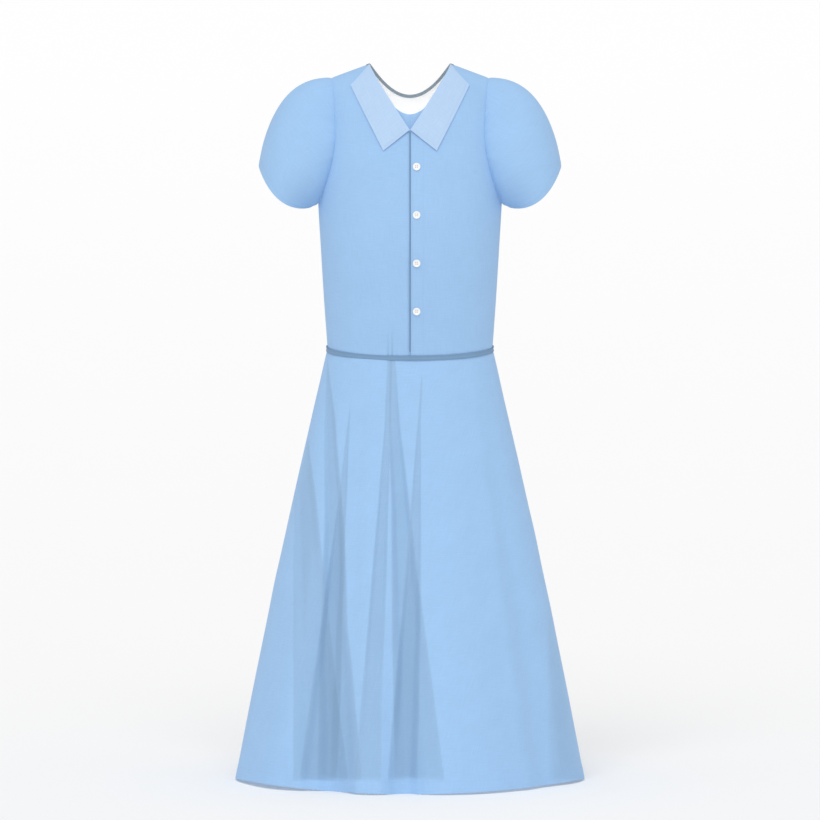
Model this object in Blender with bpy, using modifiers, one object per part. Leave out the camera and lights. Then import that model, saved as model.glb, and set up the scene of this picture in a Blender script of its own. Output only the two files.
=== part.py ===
"""A short sleeved shirt dress, standing open in the form it has when worn.

Metres, +Z up. The front faces -Y and the wearer's left is +X. The origin lies midway
between the neck ends of the two shoulder seams, where the garment hangs from the shoulders.
"""

import math
from collections import namedtuple

import bmesh
import bpy
from mathutils import Vector

COLLECTION = "shirt_dress"

# Cloth and seams
CLOTH = 0.0015
COLLAR_CLOTH = 0.0020
BAND_CLOTH = 0.0016
SEAM_TRIM = 0.0003
LIE = 0.0004
COLLAR_LIE = 0.0009
COLLAR_ROLL = 0.0016
SECTION_POWER = 2.3

# Heights of the cut, down from the neck ends of the shoulder seams
WAIST_HEIGHT = -0.4333
HEM_HEIGHT = -1.0794
UNDERARM_HEIGHT = -0.2110
SHOULDER_TIP = (0.1175, -0.0210)
NECK_HALF_WIDTH = 0.0605
FRONT_NECK_DROP = 0.0680
BACK_NECK_DROP = 0.0560
RIDGE_ROUND = 0.0200
SHOULDER_ROLL = 0.1400
ROLL_POWER = 2.4

# Neck binding, front edge and waist
BINDING_WIDTH = 0.0050
BINDING_CLOTH = 0.0024
BINDING_GAP = 0.0007
LAP_EDGE = 0.0015
STEP_START = 0.0070
STEP_END = 0.0016
UNDERLAP = 0.0180
UNDERLAP_DEPTH = 0.0020
PIPING_WIDTH = 0.0024
PIPING_PROUD = 0.0006
PIPING_TOP = -0.0925
PIPING_BOTTOM = -0.4235
BAND_HEIGHT = 0.0070
BAND_CLEAR = 0.00045

# Collar leaf corners in the front view: width from the centre, height
COLLAR_NECK = Vector((0.0600, -0.0015))
COLLAR_SHOULDER = Vector((0.0885, -0.0285))
COLLAR_POINT = Vector((0.0398, -0.1205))
COLLAR_FRONT = Vector((0.0006, -0.0900))

# Buttons
BUTTON_X = 0.0099
BUTTON_HEIGHTS = (-0.1435, -0.2150, -0.2877, -0.3614)
BUTTON_RADIUS = 0.00575
BUTTON_DISH_RADIUS = 0.0040
BUTTON_EDGE_THICK = 0.0022
BUTTON_DISH_THICK = 0.0014
BUTTON_ROUND = 0.0012
BUTTON_HOLE_RADIUS = 0.0007
BUTTON_HOLE_OFFSET = 0.0012
BUTTON_GAP = 0.0003

# Half width and depths of the torso at a few heights
Torso = namedtuple("Torso", "height half_width front back")
TORSO = (
    Torso(0.0000, 0.1290, 0.0700, 0.0640),
    Torso(-0.0680, 0.1350, 0.0840, 0.0790),
    Torso(-0.1400, 0.1392, 0.1010, 0.0930),
    Torso(-0.2110, 0.1376, 0.1130, 0.0980),
    Torso(-0.2750, 0.1340, 0.1150, 0.0960),
    Torso(-0.3500, 0.1293, 0.1065, 0.0905),
    Torso(-0.4333, 0.1238, 0.0930, 0.0850),
)

# The armhole seam, seen from the front
Armhole = namedtuple("Armhole", "height half_width")
ARMHOLE = (
    Armhole(-0.0210, 0.1175),
    Armhole(-0.0700, 0.1135),
    Armhole(-0.1200, 0.1140),
    Armhole(-0.1650, 0.1236),
    Armhole(-0.1900, 0.1309),
    Armhole(-0.2110, 0.1376),
)

# Puffed sleeve: its hem ring, and how the cloth leaves each end
SLEEVE_OUTER = (0.2265, -0.1540)
SLEEVE_INNER = (0.1500, -0.2180)
SLEEVE_HEM_DEPTH = 0.0620
SLEEVE_HEM_BELLY = 0.0150
SLEEVE_START_TOP = Vector((0.0650, 0.0, 0.0075))
SLEEVE_START_UNDER = Vector((0.0040, 0.0, -0.0023))
SLEEVE_END_TOP = Vector((0.0115, 0.0, -0.0630))
SLEEVE_END_UNDER = Vector((0.0040, 0.0, -0.0023))
SLEEVE_PUFF = 0.0220
SLEEVE_PUFF_HIGH = 0.35
SLEEVE_CLOSE = 0.0100
SLEEVE_ROWS = 8

# Skirt sections at the waist and the hem
WAIST = Torso(WAIST_HEIGHT, 0.1238, 0.0930, 0.0850)
HEM = Torso(HEM_HEIGHT, 0.2615, 0.2090, 0.2020)
HIP_FULLNESS = 0.0045
SEAT_FULLNESS = 0.0100
HEM_POWER = 1.85
SKIRT_COLUMNS = 60
SKIRT_ROWS = 11

# Skirt folds: where each starts and ends in the front view, with its spread and depth at the hem
Fold = namedtuple("Fold", "apex_x apex_drop hem_x spread depth")
FRONT_FOLDS = (
    Fold(-0.1230, 0.04, -0.1240, 0.0480, -0.0300),
    Fold(-0.0170, 0.03, -0.0080, 0.0440, -0.0260),
    Fold(-0.1000, 0.10, -0.2020, 0.0500, 0.0100),
    Fold(-0.0600, 0.08, -0.0640, 0.0420, 0.0120),
    Fold(0.0400, 0.05, 0.0880, 0.0900, 0.0110),
    Fold(0.1100, 0.10, 0.2150, 0.0440, -0.0120),
)
BACK_FOLDS = (
    Fold(-0.1050, 0.06, -0.1900, 0.0480, -0.0160),
    Fold(-0.0720, 0.05, -0.1150, 0.0440, 0.0100),
    Fold(-0.0330, 0.03, -0.0480, 0.0440, -0.0260),
    Fold(0.0030, 0.08, 0.0150, 0.0400, 0.0120),
    Fold(0.0450, 0.04, 0.0790, 0.0480, -0.0290),
    Fold(0.0800, 0.07, 0.1420, 0.0440, 0.0100),
    Fold(0.1080, 0.09, 0.2050, 0.0440, -0.0140),
)

# How finely the panels are divided
NECK_COLUMNS = 6
SHOULDER_COLUMNS = 7
FIRST_ROLL_ANGLE = 8.0
ROLL_ROWS = 6
ARMHOLE_ROWS = 4
SIDE_ROWS = 5
COLLAR_ROWS = 12
COLLAR_COLUMNS = 7
PIPING_ROWS = 16
BAND_COLUMNS = 72
BUTTON_SIDES = 20
POST_SIDES = 6

# Colours
CLOTH_BLUE = (0.347, 0.558, 0.839)
COLLAR_BLUE = (0.479, 0.651, 0.879)
BAND_BLUE = (0.209, 0.342, 0.515)
BINDING_BLUE = (0.243, 0.300, 0.347)
BUTTON_WHITE = (0.900, 0.895, 0.880)


def clear_scene():
    for old in list(bpy.data.objects):
        bpy.data.objects.remove(old, do_unlink=True)


def material(name, colour, roughness=0.9):
    made = bpy.data.materials.new(name)
    made.use_nodes = True
    shader = made.node_tree.nodes["Principled BSDF"]
    shader.inputs["Base Color"].default_value = (*colour, 1.0)
    shader.inputs["Roughness"].default_value = roughness
    shader.inputs["Metallic"].default_value = 0.0
    return made


def mix(a, b, share):
    return a * (1.0 - share) + b * share


def read_table(table, height, column):
    """Value of a column at a height: a smooth curve through the rows, which run downwards."""
    if height >= table[0].height:
        return getattr(table[0], column)
    if height <= table[-1].height:
        return getattr(table[-1], column)
    i = next(k for k in range(len(table) - 1) if height >= table[k + 1].height)

    def slope(k):
        low, high = max(k - 1, 0), min(k + 1, len(table) - 1)
        rise = getattr(table[high], column) - getattr(table[low], column)
        return rise / (table[high].height - table[low].height)

    above, below = table[i], table[i + 1]
    span = below.height - above.height
    s = (height - above.height) / span
    start = getattr(above, column) * (1 + 2 * s) * (1 - s) ** 2
    end = getattr(below, column) * s * s * (3 - 2 * s)
    return start + end + span * (slope(i) * s * (1 - s) ** 2 - slope(i + 1) * s * s * (1 - s))


# Torso surface

def shoulder_line(x):
    """Height of the shoulder ridge over a width, rounded where it would meet at the neck."""
    tip_x, tip_height = SHOULDER_TIP
    neck_reach = math.hypot(NECK_HALF_WIDTH, RIDGE_ROUND)
    slope = tip_height / (math.hypot(tip_x, RIDGE_ROUND) - neck_reach)
    return slope * (math.hypot(x, RIDGE_ROUND) - neck_reach)


def half_depth(x, height, side):
    """Distance of the torso's outer face from its side plane, for the side front or back."""
    wide = abs(x) / read_table(TORSO, height, "half_width")
    section = max(0.0, 1.0 - wide ** SECTION_POWER) ** (1.0 / SECTION_POWER)
    below = min(max(shoulder_line(x) - height, 0.0), SHOULDER_ROLL)
    roll = (1.0 - (1.0 - below / SHOULDER_ROLL) ** ROLL_POWER) ** (1.0 / ROLL_POWER)
    return read_table(TORSO, height, side) * section * roll


def torso_point(x, height, side, out=0.0):
    """A point of the torso's outer face, moved outwards along its normal."""
    sign = -1.0 if side == "front" else 1.0
    depth = half_depth(x, height, side)
    if not out:
        return Vector((x, sign * depth, height))
    step = 0.0004
    across = (half_depth(x + step, height, side) - half_depth(x - step, height, side)) / (2 * step)
    up = (half_depth(x, height + step, side) - half_depth(x, height - step, side)) / (2 * step)
    normal = Vector((-across, sign, -up)).normalized()
    return Vector((x, sign * depth, height)) + normal * out


def half_width(height):
    """Width of a bodice panel from the centre to the armhole or the side seam."""
    if height > UNDERARM_HEIGHT:
        return read_table(ARMHOLE, height, "half_width")
    return read_table(TORSO, height, "half_width")


def neck_curve(x, width, drop):
    """Height of a neckline over a width; it meets the shoulder ridge at its own half width."""
    share = (x / width) ** 2
    return -drop * (1.0 - share) + shoulder_line(width) * share


def edge_heights():
    """Heights of the rows at the outer edge: shoulder roll, armhole and side seam."""
    tip = SHOULDER_TIP[1]
    rest = (90.0 - FIRST_ROLL_ANGLE) / (ROLL_ROWS - 1)
    angles = [0.0] + [FIRST_ROLL_ANGLE + rest * i for i in range(ROLL_ROWS)]
    sinks = [1.0 - max(math.cos(math.radians(a)), 0.0) ** (2.0 / ROLL_POWER) for a in angles]
    heights = [tip - SHOULDER_ROLL * sink for sink in sinks]
    lower = heights[-1] - UNDERARM_HEIGHT
    for i in range(1, ARMHOLE_ROWS + 1):
        turn = math.radians(90.0 * (1.0 - i / ARMHOLE_ROWS))
        heights.append(UNDERARM_HEIGHT + lower * (1.0 - math.cos(turn)))
    seam_end = WAIST_HEIGHT + SEAM_TRIM / 2
    for i in range(1, SIDE_ROWS + 1):
        heights.append(mix(UNDERARM_HEIGHT, seam_end, i / SIDE_ROWS))
    return heights


def top_widths(inner, neck):
    """Widths of the columns along the top of a half panel, from its inner edge to the shoulder tip."""
    tip = SHOULDER_TIP[0]
    turns = [math.pi / 2 * i / NECK_COLUMNS for i in range(NECK_COLUMNS)]
    widths = [mix(inner, neck, math.sin(turn)) for turn in turns]
    first = math.asin((neck / tip) ** (SECTION_POWER / 2))
    for i in range(SHOULDER_COLUMNS + 1):
        turn = mix(first, math.pi / 2, i / SHOULDER_COLUMNS)
        widths.append(tip * math.sin(turn) ** (2 / SECTION_POWER))
    return widths


def half_panel(side, inner, neck, drop, extra=()):
    """Columns of a half bodice panel at +X, each a list of points from the top down.

    The extra columns stand at a fixed width and depth inside the inner edge.
    """
    heights = edge_heights()
    tip = SHOULDER_TIP[0]
    columns = []
    for top_x in top_widths(inner, neck):
        share = (top_x - inner) / (tip - inner)
        top = neck_curve(top_x, neck, drop) if top_x < neck else shoulder_line(top_x)
        columns.append([])
        for height in heights:
            fall = (height - heights[0]) / (heights[-1] - heights[0])
            z = mix(top, heights[-1], fall)
            x = inner + share * (half_width(z) - inner)
            point = torso_point(x, z, side)
            point.y = min(point.y, -SEAM_TRIM) if side == "front" else max(point.y, SEAM_TRIM)
            columns[-1].append(point)
    for x, depth in extra:
        top = neck_curve(x, neck, drop)
        column = []
        for height in heights:
            fall = (height - heights[0]) / (heights[-1] - heights[0])
            column.append(torso_point(x, mix(top, heights[-1], fall), side, -depth))
        columns.insert(0, column)
    return columns


# Making the meshes

def rows_from(columns):
    return [list(row) for row in zip(*columns)]


def mirrored(rows):
    """The same piece on the other side, its points still running left to right from outside."""
    return [[Vector((-p.x, p.y, p.z)) for p in reversed(row)] for row in rows]


def cloth(name, rows, wall, finish, ring=False):
    """A wall of cloth inwards from an outer face, whose rows run down and points left to right."""
    mesh = bpy.data.meshes.new(name)
    grid = bmesh.new()
    verts = [[grid.verts.new(p) for p in row] for row in rows]
    count = len(rows[0])
    for upper, lower in zip(verts, verts[1:]):
        for i in range(count if ring else count - 1):
            j = (i + 1) % count
            grid.faces.new((upper[i], lower[i], lower[j], upper[j]))
    grid.to_mesh(mesh)
    grid.free()
    mesh.shade_smooth()
    mesh.materials.append(finish)
    made = bpy.data.objects.new(name, mesh)
    bpy.data.collections[COLLECTION].objects.link(made)
    thick = made.modifiers.new("wall", "SOLIDIFY")
    thick.thickness = wall
    thick.offset = -1.0
    thick.use_even_offset = True
    thick.use_quality_normals = True
    return made


# Bodice

def build_fronts(finish):
    over = half_panel("front", LAP_EDGE, NECK_HALF_WIDTH, FRONT_NECK_DROP)
    cloth("bodice_front_left", rows_from(over), CLOTH, finish)
    steps = ((STEP_END, UNDERLAP_DEPTH), (-UNDERLAP / 2, UNDERLAP_DEPTH), (-UNDERLAP, UNDERLAP_DEPTH))
    under = half_panel("front", STEP_START, NECK_HALF_WIDTH, FRONT_NECK_DROP, steps)
    cloth("bodice_front_right", mirrored(rows_from(under)), CLOTH, finish)
    return over


def build_back(finish):
    neck = NECK_HALF_WIDTH + BINDING_WIDTH + BINDING_GAP
    drop = BACK_NECK_DROP + BINDING_WIDTH + BINDING_GAP
    half = half_panel("back", 0.0, neck, drop)
    other = [[Vector((-p.x, p.y, p.z)) for p in column] for column in half[1:]]
    columns = list(reversed(half)) + other
    cloth("bodice_back", rows_from(columns), CLOTH, finish)
    return half


def build_neck_binding(finish):
    """A bias strip along the back neckline, proud of the cloth on both sides."""
    rows = []
    proud = (BINDING_CLOTH - CLOTH) / 2
    for along in (0.0, 0.5, 1.0):
        width = NECK_HALF_WIDTH + BINDING_WIDTH * along
        drop = BACK_NECK_DROP + BINDING_WIDTH * along
        row = []
        for i in range(-NECK_COLUMNS, NECK_COLUMNS + 1):
            x = -width * math.sin(math.pi / 2 * i / NECK_COLUMNS)
            point = torso_point(x, neck_curve(x, width, drop), "back", proud)
            point.y = max(point.y, 2 * SEAM_TRIM)
            row.append(point)
        rows.append(row)
    cloth("neck_binding", rows, BINDING_CLOTH, finish)


def build_piping(finish):
    """A narrow slate strip along the edge of the front that laps over."""
    rows = []
    for i in range(PIPING_ROWS + 1):
        height = mix(PIPING_TOP, PIPING_BOTTOM, i / PIPING_ROWS)
        places = (-PIPING_WIDTH / 2, 0.0, PIPING_WIDTH / 2)
        rows.append([torso_point(x, height, "front", PIPING_PROUD) for x in places])
    cloth("front_edge_piping", rows, CLOTH + PIPING_PROUD, finish)


# Sleeves

def armhole_ring(front, back):
    """The armhole edge at +X, from the shoulder tip down the front and up the back."""
    last = ROLL_ROWS + ARMHOLE_ROWS
    front_edge = front[-1][:last + 1]
    back_edge = back[-1][:last + 1]
    top = Vector((front_edge[0].x, 0.0, front_edge[0].z))
    under = Vector((front_edge[-1].x, 0.0, front_edge[-1].z))
    down = [top] + front_edge[1:-1] + [under]
    up = [under] + list(reversed(back_edge[1:-1])) + [top]
    return down, up


def turns_along(edge):
    """Angles 0 to 180 degrees for the points of an edge, by their share of its length."""
    lengths = [0.0]
    for a, b in zip(edge, edge[1:]):
        lengths.append(lengths[-1] + (b - a).length)
    return [math.pi * s / lengths[-1] for s in lengths]


def sleeve_hem(turn):
    """A point of the sleeve's hem; 0 is its outer corner and 180 degrees is under the arm."""
    outer = Vector((SLEEVE_OUTER[0], 0.0, SLEEVE_OUTER[1]))
    inner = Vector((SLEEVE_INNER[0], 0.0, SLEEVE_INNER[1]))
    middle = (outer + inner) / 2
    reach = (outer - inner) / 2
    sag = Vector((-reach.z, 0.0, reach.x)).normalized() * -SLEEVE_HEM_BELLY
    depth = Vector((0.0, -SLEEVE_HEM_DEPTH * math.sin(turn), 0.0))
    return middle + reach * math.cos(turn) + sag * math.sin(turn) ** 2 + depth


def sleeve_line(start, turn):
    """Points of the sleeve from its armhole seam to its hem, at one turn round the arm."""
    top = (1.0 + math.cos(turn)) / 2
    leave = SLEEVE_START_UNDER.lerp(SLEEVE_START_TOP, top)
    leave.y -= SLEEVE_PUFF * math.sin(turn) * (1.0 + SLEEVE_PUFF_HIGH * math.cos(turn))
    arrive = SLEEVE_END_UNDER.lerp(SLEEVE_END_TOP, top)
    arrive.y += SLEEVE_CLOSE * math.sin(turn)
    first = start + leave.normalized() * LIE
    last = sleeve_hem(turn)
    near, far = first + leave, last - arrive
    points = []
    for i in range(SLEEVE_ROWS + 1):
        s = i / SLEEVE_ROWS
        r = 1.0 - s
        points.append(first * r ** 3 + near * 3 * r * r * s + far * 3 * r * s * s + last * s ** 3)
    return points


def build_sleeves(front, back, finish):
    down, up = armhole_ring(front, back)
    lines = [sleeve_line(p, t) for p, t in zip(down, turns_along(down))][:-1]
    lines += [sleeve_line(p, math.pi + t) for p, t in zip(up, turns_along(up))][:-1]
    lines.reverse()
    rows = rows_from(lines)
    cloth("sleeve_left", rows, CLOTH, finish, ring=True)
    cloth("sleeve_right", mirrored(rows), CLOTH, finish, ring=True)


# Collar

def build_collar(finish):
    """Two flat leaves on the front, each from the neck point to the centre front."""
    rows = []
    for i in range(COLLAR_ROWS + 1):
        down = i / COLLAR_ROWS
        inner = COLLAR_NECK.lerp(COLLAR_FRONT, down)
        outer = COLLAR_SHOULDER.lerp(COLLAR_POINT, down)
        row = []
        for j in range(COLLAR_COLUMNS + 1):
            out = j / COLLAR_COLUMNS
            place = inner.lerp(outer, out)
            lie = COLLAR_LIE + COLLAR_ROLL * (1.0 - out) ** 2
            row.append(torso_point(place.x, place.y, "front", lie + COLLAR_CLOTH))
        rows.append(row)
    cloth("collar_left", rows, COLLAR_CLOTH, finish)
    cloth("collar_right", mirrored(rows), COLLAR_CLOTH, finish)


# Skirt

def skirt_section(drop):
    """Half width, front depth, back depth and roundness of the skirt at a share of its drop."""
    full = 4.0 * drop * (1.0 - drop)
    wide = mix(WAIST.half_width, HEM.half_width, drop) + HIP_FULLNESS * full
    front = mix(WAIST.front, HEM.front, drop) + HIP_FULLNESS * full
    back = mix(WAIST.back, HEM.back, drop) + SEAT_FULLNESS * full
    return wide, front, back, mix(SECTION_POWER, HEM_POWER, drop)


def fold_depth(x, drop, folds):
    """How far the folds move the cloth outwards at a front view position."""
    moved = 0.0
    for fold in folds:
        grown = (drop - fold.apex_drop) / (1.0 - fold.apex_drop)
        if grown <= 0.0:
            continue
        centre = mix(fold.apex_x, fold.hem_x, grown)
        away = (x - centre) / (fold.spread * mix(0.3, 1.0, grown))
        if abs(away) < 1.0:
            moved += fold.depth * grown * (1.0 + math.cos(math.pi * away)) / 2
    return moved


def skirt_point(turn, drop, out=0.0):
    """A point of the skirt; the turn is 0 at the centre front and 90 degrees at the +X seam."""
    wide, front, back, power = skirt_section(drop)
    facing = math.cos(turn)
    side = math.sin(turn)
    ahead = facing > 0.0
    deep = front if ahead else back
    x = math.copysign(wide * abs(side) ** (2 / power), side)
    y = -math.copysign(deep * abs(facing) ** (2 / power), facing)
    folds = fold_depth(x, drop, FRONT_FOLDS if ahead else BACK_FOLDS)
    normal = Vector((side / wide, -facing / deep, 0.0)).normalized()
    z = mix(WAIST.height, HEM.height, drop)
    return Vector((x, y, z)) + normal * (folds + out)


def build_skirt(finish):
    """Front and back panels, flared from the waist to a level hem, with hanging folds."""
    for name, middle in (("skirt_front", 0.0), ("skirt_back", math.pi)):
        rows = []
        for i in range(SKIRT_ROWS + 1):
            drop = i / SKIRT_ROWS
            row = []
            for j in range(SKIRT_COLUMNS + 1):
                turn = middle + math.pi * (j / SKIRT_COLUMNS - 0.5)
                point = skirt_point(turn, drop)
                point.y = min(point.y, -SEAM_TRIM) if middle == 0.0 else max(point.y, SEAM_TRIM)
                if i == 0:
                    point.z -= SEAM_TRIM / 2
                row.append(point)
            rows.append(row)
        cloth(name, rows, CLOTH, finish)


def build_waist_band(finish):
    """A narrow slate ring over the waist seam; it follows the bodice above and the skirt below."""
    rows = []
    drop_below = BAND_HEIGHT / 2 / (WAIST.height - HEM.height)
    for level in (1, 0, -1):
        row = []
        for j in range(BAND_COLUMNS):
            turn = math.pi * (2 * j / BAND_COLUMNS - 1.0)
            point = skirt_point(turn, drop_below if level < 0 else 0.0, BAND_CLEAR + BAND_CLOTH)
            if level > 0:
                grow = read_table(TORSO, WAIST_HEIGHT + BAND_HEIGHT / 2, "front") / WAIST.front
                point = Vector((point.x * grow, point.y * grow, WAIST_HEIGHT + BAND_HEIGHT / 2))
            row.append(point)
        rows.append(row)
    cloth("waist_band", rows, BAND_CLOTH, finish, ring=True)


# Buttons

def turned_disc(name, profile):
    """A closed turned shape from a profile of radius and height pairs that ends on its axis."""
    mesh = bpy.data.meshes.new(name)
    shape = bmesh.new()
    verts = [shape.verts.new((r, 0.0, h)) for r, h in profile]
    edges = [shape.edges.new(pair) for pair in zip(verts, verts[1:])]
    turn = 2 * math.pi
    bmesh.ops.spin(shape, geom=verts + edges, axis=(0, 0, 1), cent=(0, 0, 0), angle=turn, steps=BUTTON_SIDES)
    bmesh.ops.remove_doubles(shape, verts=shape.verts, dist=0.00001)
    bmesh.ops.recalc_face_normals(shape, faces=shape.faces)
    shape.to_mesh(mesh)
    shape.free()
    return mesh


def hole_cutter():
    """Four small upright posts, joined as one mesh, that cut the thread holes."""
    mesh = bpy.data.meshes.new("button_holes")
    posts = bmesh.new()
    for across in (-1, 1):
        for up in (-1, 1):
            place = Vector((across * BUTTON_HOLE_OFFSET, up * BUTTON_HOLE_OFFSET, 0.0))
            made = bmesh.ops.create_cone(
                posts, cap_ends=True, segments=POST_SIDES, depth=4 * BUTTON_EDGE_THICK,
                radius1=BUTTON_HOLE_RADIUS, radius2=BUTTON_HOLE_RADIUS)
            bmesh.ops.translate(posts, verts=made["verts"], vec=place)
    posts.to_mesh(mesh)
    posts.free()
    cutter = bpy.data.objects.new("button_holes", mesh)
    cutter.hide_render = True
    cutter.display_type = "WIRE"
    bpy.data.collections["cutters"].objects.link(cutter)
    return cutter


def build_buttons(finish):
    profile = (
        (0.0, 0.0),
        (BUTTON_RADIUS - BUTTON_ROUND, 0.0),
        (BUTTON_RADIUS, BUTTON_ROUND / 2),
        (BUTTON_RADIUS, BUTTON_EDGE_THICK - BUTTON_ROUND / 2),
        (BUTTON_RADIUS - BUTTON_ROUND / 2, BUTTON_EDGE_THICK),
        (BUTTON_DISH_RADIUS, BUTTON_EDGE_THICK),
        (BUTTON_DISH_RADIUS - BUTTON_ROUND / 2, BUTTON_DISH_THICK),
        (0.0, BUTTON_DISH_THICK),
    )
    disc = turned_disc("button_disc", profile)
    blank = bpy.data.objects.new("button_blank", disc)
    bpy.data.collections["cutters"].objects.link(blank)
    cut = blank.modifiers.new("holes", "BOOLEAN")
    cut.operation = "DIFFERENCE"
    cut.object = hole_cutter()
    bpy.context.view_layer.update()
    graph = bpy.context.evaluated_depsgraph_get()
    pierced = bpy.data.meshes.new_from_object(blank.evaluated_get(graph))
    bpy.data.objects.remove(blank, do_unlink=True)
    pierced.name = "button"
    pierced.shade_smooth()
    pierced.materials.append(finish)
    for number, height in enumerate(BUTTON_HEIGHTS, start=1):
        face = torso_point(BUTTON_X, height, "front")
        seat = torso_point(BUTTON_X, height, "front", BUTTON_GAP)
        made = bpy.data.objects.new(f"button_{number}", pierced.copy())
        made.location = seat
        made.rotation_euler = (seat - face).to_track_quat("Z", "Y").to_euler()
        bpy.data.collections[COLLECTION].objects.link(made)


def build():
    clear_scene()
    for name in (COLLECTION, "cutters"):
        group = bpy.data.collections.new(name)
        bpy.context.scene.collection.children.link(group)
    blue = material("cotton_blue", CLOTH_BLUE)
    slate = material("trim_slate", BAND_BLUE)
    front = build_fronts(blue)
    back = build_back(blue)
    build_sleeves(front, back, blue)
    build_collar(material("collar_pale_blue", COLLAR_BLUE))
    build_neck_binding(material("binding_slate", BINDING_BLUE))
    build_piping(slate)
    build_waist_band(slate)
    build_skirt(blue)
    build_buttons(material("button_white", BUTTON_WHITE, 0.35))


build()
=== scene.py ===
"""A short sleeved shirt dress in pale blue cotton, open and in its worn form with no wearer.

Metres, +Z up. The front faces -Y and the wearer's left is +X. The file follows the dress as it
is sewn: fronts, back, neck binding, sleeves, collar, front edge, skirt, waist band and buttons,
then the studio. Left and right in the names are the wearer's.
"""

import math

import bpy
import numpy as np
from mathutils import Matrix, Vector


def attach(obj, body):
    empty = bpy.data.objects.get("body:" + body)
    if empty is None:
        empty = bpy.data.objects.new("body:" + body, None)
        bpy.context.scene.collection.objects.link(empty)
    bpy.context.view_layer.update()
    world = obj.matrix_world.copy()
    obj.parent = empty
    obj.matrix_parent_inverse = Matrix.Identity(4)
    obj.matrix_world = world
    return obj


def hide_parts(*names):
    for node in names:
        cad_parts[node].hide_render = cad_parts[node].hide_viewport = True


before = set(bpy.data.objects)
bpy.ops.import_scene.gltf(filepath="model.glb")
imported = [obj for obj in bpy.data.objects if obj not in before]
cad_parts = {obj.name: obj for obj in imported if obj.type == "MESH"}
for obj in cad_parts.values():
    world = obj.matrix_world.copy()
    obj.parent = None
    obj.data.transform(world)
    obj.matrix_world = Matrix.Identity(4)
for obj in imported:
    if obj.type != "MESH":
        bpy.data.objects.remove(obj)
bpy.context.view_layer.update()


# Bodice fronts
#
# Two pieces of plain woven cotton, lined in white, shaped over the bust and rolled over the
# shoulders. The wearer's left front laps over the right one, which runs on under it.

WAIST_HEIGHT = -0.4333
UNDERARM_HEIGHT = -0.2110
SEAM_TRIM = 0.0003
CLOTH = 0.0009
SHOULDER_TIP = (0.1175, -0.0210)
NECK_HALF_WIDTH = 0.0605
FRONT_NECK_DROP = 0.0666
RIDGE_ROUND = 0.0200
SHOULDER_ROLL = 0.1400
ROLL_POWER = 2.4
SECTION_POWER = 2.3
WAIST_DIP = 0.0037
WAIST_DIP_REACH = 0.0400
LAP_EDGE = 0.0015
UNDERLAP = 0.0180
UNDERLAP_DEPTH = 0.0012
STEP_START = 0.0046
STEP_END = 0.0016
NECK_COLUMNS = 88
SHOULDER_COLUMNS = 30
ROLL_ROWS = 34
ARMHOLE_ROWS = 16
SIDE_ROWS = 62
UNDERLAP_COLUMNS = 12
MIRRORED = (-1.0, 1.0, 1.0)

TORSO_HEIGHTS = (0.0, -0.0680, -0.1400, -0.2110, -0.2750, -0.3500, -0.4333)
TORSO = {
    "wide": (0.1290, 0.1350, 0.1392, 0.1376, 0.1340, 0.1293, 0.1238),
    "front": (0.0700, 0.0840, 0.1010, 0.1130, 0.1150, 0.1065, 0.0930),
    "back": (0.0640, 0.0790, 0.0930, 0.0980, 0.0960, 0.0905, 0.0850),
}
ARMHOLE_HEIGHTS = (-0.0210, -0.0700, -0.1200, -0.1650, -0.1900, -0.2110)
ARMHOLE_WIDTHS = (0.1175, 0.1135, 0.1140, 0.1236, 0.1309, 0.1376)

# Pressed cotton swells a little between its seams, which pull it in beside them. Each wave of it
# has its pace across, forward and up, and where it starts.
SWELL = 0.00022
SWELL_EASE = 0.0200
SWELL_WAVES = ((31.0, 0.0, 23.0, 0.4), (-26.0, 14.0, 47.0, 1.9), (64.0, 0.0, 9.0, 2.6))
SEAM_PULL = 0.0005
SEAM_PULL_WIDTH = 0.0018

# Two small tucks stand above the waist seam where the deepest skirt fold starts, and a fainter
# one beside them: the place across, height and depth of each
TUCKS = ((-0.0200, 0.024, 0.0005), (-0.0268, 0.062, 0.0012), (-0.0330, 0.052, 0.0011))
TUCK_SPREAD = 0.0014
# Each metre of a tuck's depth paints this much shade into the cloth's colour
TUCK_PAINTED_SHADE = 420.0

LAP_STITCHES = 0.0040
FACING_STITCHES = 0.0198
STITCH_LENGTH = 0.0021
STITCH_PITCH = 0.0029
STITCH_WIDTH = 0.00042
STITCH_HEIGHT = 0.00034
STITCH_AHEAD = 0.0005

COTTON_BLUE = (0.347, 0.558, 0.839)
LINING_WHITE = (0.93, 0.92, 0.90)
BLUE_THREAD = (0.300, 0.490, 0.745)
THREAD_PITCH = 0.00042

# The weave's tone: threads over and under, slubs across and along a thread, and clouds of dye.
# In folds a painted shade darkens the cloth's colour towards this share of its red, green and
# blue, by this strength.
THREAD_TONE = 0.16
SLUB_TONE = 0.9
CLOUD_TONE = 0.5
WARP_SLUBS = (0.35, 40.0)
WEFT_SLUBS = (0.33, 46.0)
WEAVE_RELIEF = 0.00010
PAINTED_FOLD_TONE = (0.50, 0.46, 0.40)
FOLD_PAINTED_SHADE = 0.46


def curve_through(heights, values, at):
    """A smooth curve through values at heights that run downwards."""
    heights, values = np.array(heights), np.array(values)
    slopes = np.empty_like(values)
    slopes[1:-1] = (values[2:] - values[:-2]) / (heights[2:] - heights[:-2])
    slopes[0] = (values[1] - values[0]) / (heights[1] - heights[0])
    slopes[-1] = (values[-1] - values[-2]) / (heights[-1] - heights[-2])
    at = np.clip(at, heights[-1], heights[0])
    row = np.clip(np.searchsorted(-heights, -at, side="right") - 1, 0, len(heights) - 2)
    span = heights[row + 1] - heights[row]
    s = (at - heights[row]) / span
    r = 1.0 - s
    ends = values[row] * (1 + 2 * s) * r * r + values[row + 1] * s * s * (3 - 2 * s)
    return ends + span * (slopes[row] * s * r * r - slopes[row + 1] * s * s * r)


def soft_step(share):
    share = np.clip(share, 0.0, 1.0)
    return share * share * (3.0 - 2.0 * share)


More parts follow.
